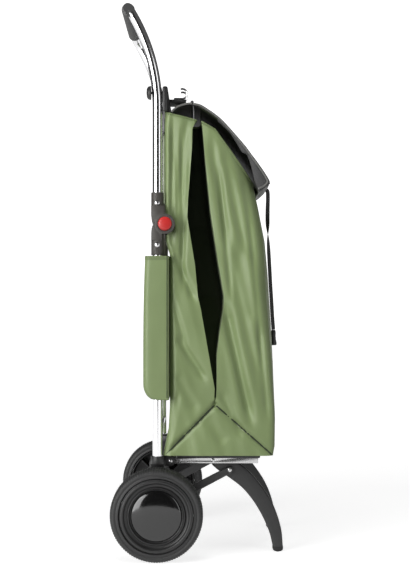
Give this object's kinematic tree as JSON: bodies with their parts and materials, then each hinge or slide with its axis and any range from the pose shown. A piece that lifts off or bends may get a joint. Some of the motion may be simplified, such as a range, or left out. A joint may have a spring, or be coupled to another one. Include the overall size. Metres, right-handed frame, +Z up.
{
  "type": "shopping trolley",
  "caption": "Folding wheeled shopping trolley: bent tube handle with side hinges, lidded fabric bag on a fold-up platform with curved legs, rear pocket and wheels with glossy caps.",
  "frame": {"origin": "on the ground under the middle of the object's bounding box", "axes": "+X forward, from the wheels to the bag's front; +Y to the left, along the axle; +Z up"},
  "size_m": [0.312, 0.4076, 1.0088],
  "materials": {
    "polished_tube": "polished",
    "steel": "bright zinc plate",
    "black_plastic": "moulded, fine grain",
    "hub_gloss": "high gloss",
    "tread": "fine ribbed tread",
    "grip_foam": "soft grey",
    "foot_rubber": "matte",
    "red_plastic": "satin",
    "bag_fabric": "coated woven polyester",
    "black_fabric": "woven polyester",
    "strap_webbing": "flat woven tape"
  },
  "bodies": {
    "chassis": {"axle": "steel", "lower_crossbar": "polished_tube", "rear_pocket": "bag_fabric", "bag_body": "bag_fabric", "lid_root": "black_fabric", "lower_tube_left": "polished_tube", "lower_tube_right": "polished_tube", "axle_bracket_left": "black_plastic", "axle_bracket_right": "black_plastic", "hinge_socket_left": "black_plastic", "hinge_socket_right": "black_plastic", "rivet_lower_left": "steel", "rivet_lower_right": "steel", "platform_pin_left": "steel", "platform_pin_right": "steel", "axle_nut_left": "steel", "axle_nut_right": "steel"},
    "handle": {"handle_tube": "polished_tube", "handle_grip": "grip_foam", "bag_hanger": "black_plastic", "cart_hook": "steel", "hinge_housing_left": "black_plastic", "hinge_housing_right": "black_plastic", "rivet_upper_left": "steel", "rivet_upper_right": "steel", "hanger_knob_left": "black_plastic", "hanger_knob_right": "black_plastic"},
    "platform": {"platform_frame": "steel", "platform_tray": "black_plastic", "leg_pin_left": "steel", "leg_pin_right": "steel"},
    "lid": {"bag_lid": "black_fabric"},
    "strap": {"closure_strap": "strap_webbing", "strap_end": "black_plastic"},
    "wheel_left": {"tyre_left": "tread", "rim_left": "black_plastic", "hub_cap_left": "hub_gloss"},
    "button_body_left": {"button_left": "red_plastic"},
    "leg_body_left": {"leg_left": "black_plastic", "foot_pad_left": "foot_rubber"},
    "brace_body_left": {"brace_left": "black_plastic", "brace_rivet_left": "steel"},
    "wheel_right": {"tyre_right": "tread", "rim_right": "black_plastic", "hub_cap_right": "hub_gloss"},
    "button_body_right": {"button_right": "red_plastic"},
    "leg_body_right": {"leg_right": "black_plastic", "foot_pad_right": "foot_rubber"},
    "brace_body_right": {"brace_right": "black_plastic", "brace_rivet_right": "steel"}
  },
  "joints": [
    {"name": "handle_fold", "type": "hinge", "parent": "chassis", "child": "handle", "pos_m": [-0.059, 0, 0.599], "axis": [0, 1, 0], "range_deg": [0, 177], "deforming": ["bag_body", "lid_root", "bag_lid", "rear_pocket", "closure_strap", "strap_end"]},
    {"name": "platform_fold", "type": "hinge", "parent": "chassis", "child": "platform", "pos_m": [-0.05, 0, 0.171], "axis": [0, -1, 0], "range_deg": [0, 90]},
    {"name": "lid_open", "type": "hinge", "parent": "chassis", "child": "lid", "pos_m": [-0.0105, 0, 0.8205], "axis": [0, 1, 0], "range_deg": [-110, 0]},
    {"name": "strap_swing", "type": "hinge", "parent": "lid", "child": "strap", "pos_m": [0.1345, 0, 0.669], "axis": [0, 1, 0], "range_deg": [0, 110]},
    {"name": "wheel_spin_left", "type": "hinge", "parent": "chassis", "child": "wheel_left", "pos_m": [-0.0735, 0.1805, 0.0825], "axis": [0, 1, 0], "continuous": true},
    {"name": "button_press_left", "type": "slide", "parent": "handle", "child": "button_body_left", "axis": [0, -1, 0], "range_m": [0, 0.003], "stiffness_N_per_m": 600},
    {"name": "leg_swing_left", "type": "hinge", "parent": "platform", "child": "leg_body_left", "pos_m": [0.027, 0.1, 0.17], "axis": [0, -1, 0], "range_deg": [-104, 0]},
    {"name": "brace_swing_left", "type": "hinge", "parent": "chassis", "child": "brace_body_left", "pos_m": [-0.0735, 0.113, 0.0825], "axis": [0, -1, 0], "range_deg": [0, 42.83]},
    {"name": "wheel_spin_right", "type": "hinge", "parent": "chassis", "child": "wheel_right", "pos_m": [-0.0735, -0.1805, 0.0825], "axis": [0, 1, 0], "continuous": true},
    {"name": "button_press_right", "type": "slide", "parent": "handle", "child": "button_body_right", "axis": [0, 1, 0], "range_m": [0, 0.003], "stiffness_N_per_m": 600},
    {"name": "leg_swing_right", "type": "hinge", "parent": "platform", "child": "leg_body_right", "pos_m": [0.027, -0.1, 0.17], "axis": [0, -1, 0], "range_deg": [-104, 0]},
    {"name": "brace_swing_right", "type": "hinge", "parent": "chassis", "child": "brace_body_right", "pos_m": [-0.0735, -0.113, 0.0825], "axis": [0, -1, 0], "range_deg": [0, 42.83]}
  ],
  "couplings": [
    {"joint": "strap_swing", "follows": "lid_open", "ratio": -1},
    {"joint": "leg_swing_left", "follows": "platform_fold", "ratio": -1.155},
    {"joint": "brace_swing_left", "follows": "platform_fold", "ratio": 0.4753},
    {"joint": "leg_swing_right", "follows": "platform_fold", "ratio": -1.155},
    {"joint": "brace_swing_right", "follows": "platform_fold", "ratio": 0.4753}
  ]
}
